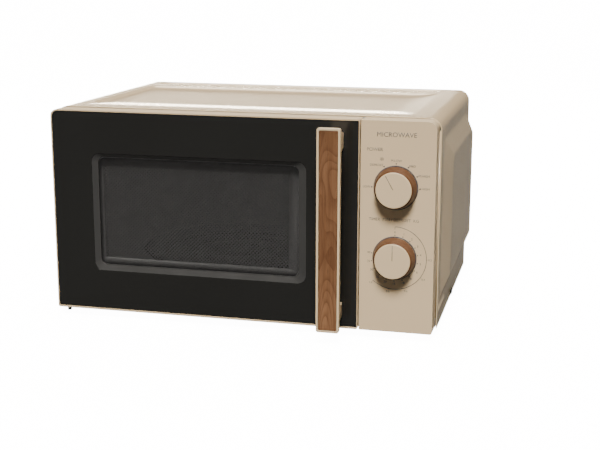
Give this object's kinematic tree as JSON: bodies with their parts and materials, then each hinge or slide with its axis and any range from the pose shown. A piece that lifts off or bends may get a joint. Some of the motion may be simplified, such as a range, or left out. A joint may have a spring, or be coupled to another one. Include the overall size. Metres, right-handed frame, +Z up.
{
  "type": "microwave oven",
  "caption": "Countertop microwave oven with a beige steel casing, a black windowed side-hinged door, a wood-faced bar handle and dial controls.",
  "frame": {"origin": "centre of the bounding box's underside: on the table, midway between the side bulges and midway between the handle's front and the cord gland's back", "axes": "+X to the right of the door, +Y from the door to the back, +Z up"},
  "size_m": [0.4674, 0.364, 0.249],
  "materials": {
    "cream_paint": "satin beige powder coat",
    "cream_plastic": "satin moulded beige",
    "black_gloss": "high gloss black",
    "smoked_pane": "smoked clear film, gloss",
    "clear_pane": "clear, gloss",
    "wood_trim": "satin brown wood with straight grain",
    "zinc_steel": "zinc plated, satin",
    "capacitor_can": "plain aluminium can",
    "dark_steel": "dull grey steel",
    "cavity_enamel": "semi-gloss pale grey enamel",
    "black_plastic": "fine textured black",
    "black_screw": "black gloss",
    "white_plastic": "satin off-white",
    "foot_rubber": "matte black",
    "copper_winding": "varnished copper wire",
    "mica_sheet": "matt mica board",
    "circuit_board": "satin green laminate"
  },
  "bodies": {
    "body": {"cabinet_cover": "cream_paint", "control_panel": "cream_plastic", "base_plate": "zinc_steel", "rear_panel": "zinc_steel", "waveguide": "zinc_steel", "hv_capacitor": "capacitor_can", "turntable_motor": "dark_steel", "magnetron": "dark_steel", "transformer_core": "dark_steel", "fan_motor": "dark_steel", "hinge_lower": "dark_steel", "hinge_upper": "dark_steel", "front_plate": "cavity_enamel", "cavity_left_wall": "cavity_enamel", "cavity_right_wall": "cavity_enamel", "cavity_back_wall": "cavity_enamel", "cavity_roof": "cavity_enamel", "cavity_floor": "cavity_enamel", "cord_gland": "black_plastic", "side_screw_left": "black_screw", "side_screw_right": "black_screw", "rear_screw_left": "black_screw", "rear_screw_right": "black_screw", "oven_lamp": "white_plastic", "fan_shroud": "white_plastic", "interlock_bracket": "white_plastic", "timer_switch_unit": "white_plastic", "foot_front_left": "foot_rubber", "foot_front_right": "foot_rubber", "foot_rear_left": "foot_rubber", "foot_rear_right": "foot_rubber", "transformer_coil": "copper_winding", "waveguide_cover": "mica_sheet", "noise_filter_board": "circuit_board"},
    "door": {"door_frame": "cream_plastic", "door_front_panel": "black_gloss", "door_window_pane": "smoked_pane", "door_plate": "dark_steel", "door_screen": "dark_steel", "door_choke_cover": "black_plastic", "door_inner_pane": "clear_pane", "handle_body": "cream_plastic", "handle_wood_inlay": "wood_trim", "handle_screw_lower": "zinc_steel", "handle_screw_upper": "zinc_steel", "latch_spring": "zinc_steel"},
    "latch": {"latch_hook": "black_plastic"},
    "power_knob": {"power_knob_ring": "wood_trim", "power_knob_cap": "cream_plastic", "power_shaft": "white_plastic"},
    "timer_knob": {"timer_knob_ring": "wood_trim", "timer_knob_cap": "cream_plastic", "timer_shaft": "white_plastic"},
    "turntable": {"drive_coupler": "white_plastic"},
    "tray": {"glass_tray": "clear_pane"},
    "roller_carrier": {"roller_ring": "white_plastic"},
    "roller_one": {"roller_1": "white_plastic"},
    "roller_two": {"roller_2": "white_plastic"},
    "roller_three": {"roller_3": "white_plastic"},
    "fan": {"fan_blade": "black_plastic"}
  },
  "joints": [
    {"name": "door_hinge", "type": "hinge", "parent": "body", "child": "door", "pos_m": [-0.216, -0.132, 0.129], "axis": [0, 0, -1], "range_deg": [0, 95]},
    {"name": "latch_slide", "type": "slide", "parent": "door", "child": "latch", "axis": [0, 0, 1], "range_m": [0, 0.005], "stiffness_N_per_m": 300, "springref_m": -0.004, "deforming": ["latch_spring"]},
    {"name": "power_turn", "type": "hinge", "parent": "body", "child": "power_knob", "pos_m": [0.1815, -0.145, 0.1745], "axis": [0, 1, 0], "range_deg": [-60, 120]},
    {"name": "timer_turn", "type": "hinge", "parent": "body", "child": "timer_knob", "pos_m": [0.1815, -0.145, 0.0955], "axis": [0, 1, 0], "range_deg": [0, 280]},
    {"name": "turntable_spin", "type": "hinge", "parent": "body", "child": "turntable", "pos_m": [-0.047, 0.021, 0.04], "axis": [0, 0, 1], "continuous": true},
    {"name": "tray_lift", "type": "slide", "parent": "turntable", "child": "tray", "axis": [0, 0, 1], "range_m": [0, 0.04]},
    {"name": "roller_ring_spin", "type": "hinge", "parent": "body", "child": "roller_carrier", "pos_m": [-0.047, 0.021, 0.0397], "axis": [0, 0, 1], "continuous": true},
    {"name": "roller_1_spin", "type": "hinge", "parent": "roller_carrier", "child": "roller_one", "pos_m": [0.03267, 0.067, 0.0397], "axis": [-0.866, -0.5, 0], "continuous": true},
    {"name": "roller_2_spin", "type": "hinge", "parent": "roller_carrier", "child": "roller_two", "pos_m": [-0.12667, 0.067, 0.0397], "axis": [0.866, -0.5, 0], "continuous": true},
    {"name": "roller_3_spin", "type": "hinge", "parent": "roller_carrier", "child": "roller_three", "pos_m": [-0.047, -0.071, 0.0397], "axis": [0, 1, 0], "continuous": true},
    {"name": "fan_spin", "type": "hinge", "parent": "body", "child": "fan", "pos_m": [0.166, 0.155, 0.18], "axis": [0, 1, 0], "continuous": true}
  ],
  "couplings": [
    {"joint": "roller_ring_spin", "follows": "turntable_spin", "ratio": 0.5},
    {"joint": "roller_1_spin", "follows": "turntable_spin", "ratio": 6.5714},
    {"joint": "roller_2_spin", "follows": "turntable_spin", "ratio": 6.5714},
    {"joint": "roller_3_spin", "follows": "turntable_spin", "ratio": 6.5714}
  ]
}
